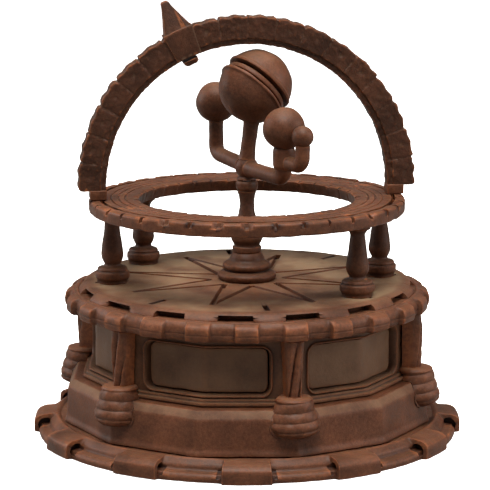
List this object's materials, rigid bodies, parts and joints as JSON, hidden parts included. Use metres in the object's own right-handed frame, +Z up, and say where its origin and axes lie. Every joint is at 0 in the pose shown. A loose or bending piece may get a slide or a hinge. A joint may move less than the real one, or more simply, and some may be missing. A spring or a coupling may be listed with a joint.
{
  "type": "astrolabe",
  "caption": "Table-top astrolabe: toothed twelve-sided drum base, column and balusters, flat horizon ring, turning arch with a sliding pointer, and a turning sun, planet and moon model.",
  "frame": {"origin": "middle of the base, on the surface that it stands on", "axes": "+Z up along the column, -Y towards the front, +X to the right; angles round the base run from -Y towards +X"},
  "size_m": [0.1482, 0.1482, 0.1505],
  "materials": {
    "resin": "cast brown resin, waxy satin, slightly rough, lighter on worn edges",
    "resin_dark": "the same cast resin, darker in the recesses",
    "brass": "plain turned brass, lightly tarnished",
    "steel": "plain steel rod and nut"
  },
  "bodies": {
    "base": {"base_rim": "resin", "base_cover": "resin_dark", "skirt": "resin", "drum_wall": "resin", "drum_panel_1": "resin_dark", "drum_panel_2": "resin_dark", "drum_panel_3": "resin_dark", "drum_panel_4": "resin_dark", "drum_panel_5": "resin_dark", "drum_panel_6": "resin_dark", "bracket_bulb_1": "resin", "bracket_bulb_2": "resin", "bracket_bulb_3": "resin", "bracket_bulb_4": "resin", "bracket_bulb_5": "resin", "bracket_bulb_6": "resin", "bracket_strap_1": "resin", "bracket_strap_2": "resin", "bracket_strap_3": "resin", "bracket_strap_4": "resin", "bracket_strap_5": "resin", "bracket_strap_6": "resin", "cornice": "resin", "deck_plate": "resin", "baluster_1": "resin", "baluster_2": "resin", "baluster_3": "resin", "baluster_4": "resin", "horizon_ring": "resin", "column_base": "resin", "column_shaft": "resin", "column_capital": "resin", "tie_rod": "steel", "rod_nut": "steel", "rod_washer": "steel", "thrust_washer": "resin_dark"},
    "arch": {"arch": "resin", "arch_foot_1": "resin", "arch_foot_2": "resin", "arch_shoe_1": "resin_dark", "arch_shoe_2": "resin_dark"},
    "pointer": {"pointer": "resin", "pointer_clamp": "resin"},
    "orrery": {"orrery_hub": "resin", "near_arm": "resin", "far_arm": "resin", "near_planet": "resin", "far_planet": "resin", "sun_stem": "resin", "sun_lower": "resin", "sun_disc": "resin_dark", "sun_upper": "resin", "sun_pin": "brass"},
    "moon": {"moon_arm": "resin", "moon": "resin"}
  },
  "joints": [
    {"name": "arch_turn", "type": "hinge", "parent": "base", "child": "arch", "pos_m": [0, 0, 0.0866], "axis": [0, 0, 1], "continuous": true},
    {"name": "pointer_slide", "type": "hinge", "parent": "arch", "child": "pointer", "pos_m": [0, 0, 0.0866], "axis": [0.3827, -0.9239, 0], "range_deg": [-5, 25]},
    {"name": "orrery_turn", "type": "hinge", "parent": "base", "child": "orrery", "pos_m": [0, 0, 0.0924], "axis": [0, 0, 1], "continuous": true},
    {"name": "moon_turn", "type": "hinge", "parent": "orrery", "child": "moon", "pos_m": [0.0184, -0.02044, 0.0998], "axis": [0, 0, 1], "continuous": true}
  ]
}
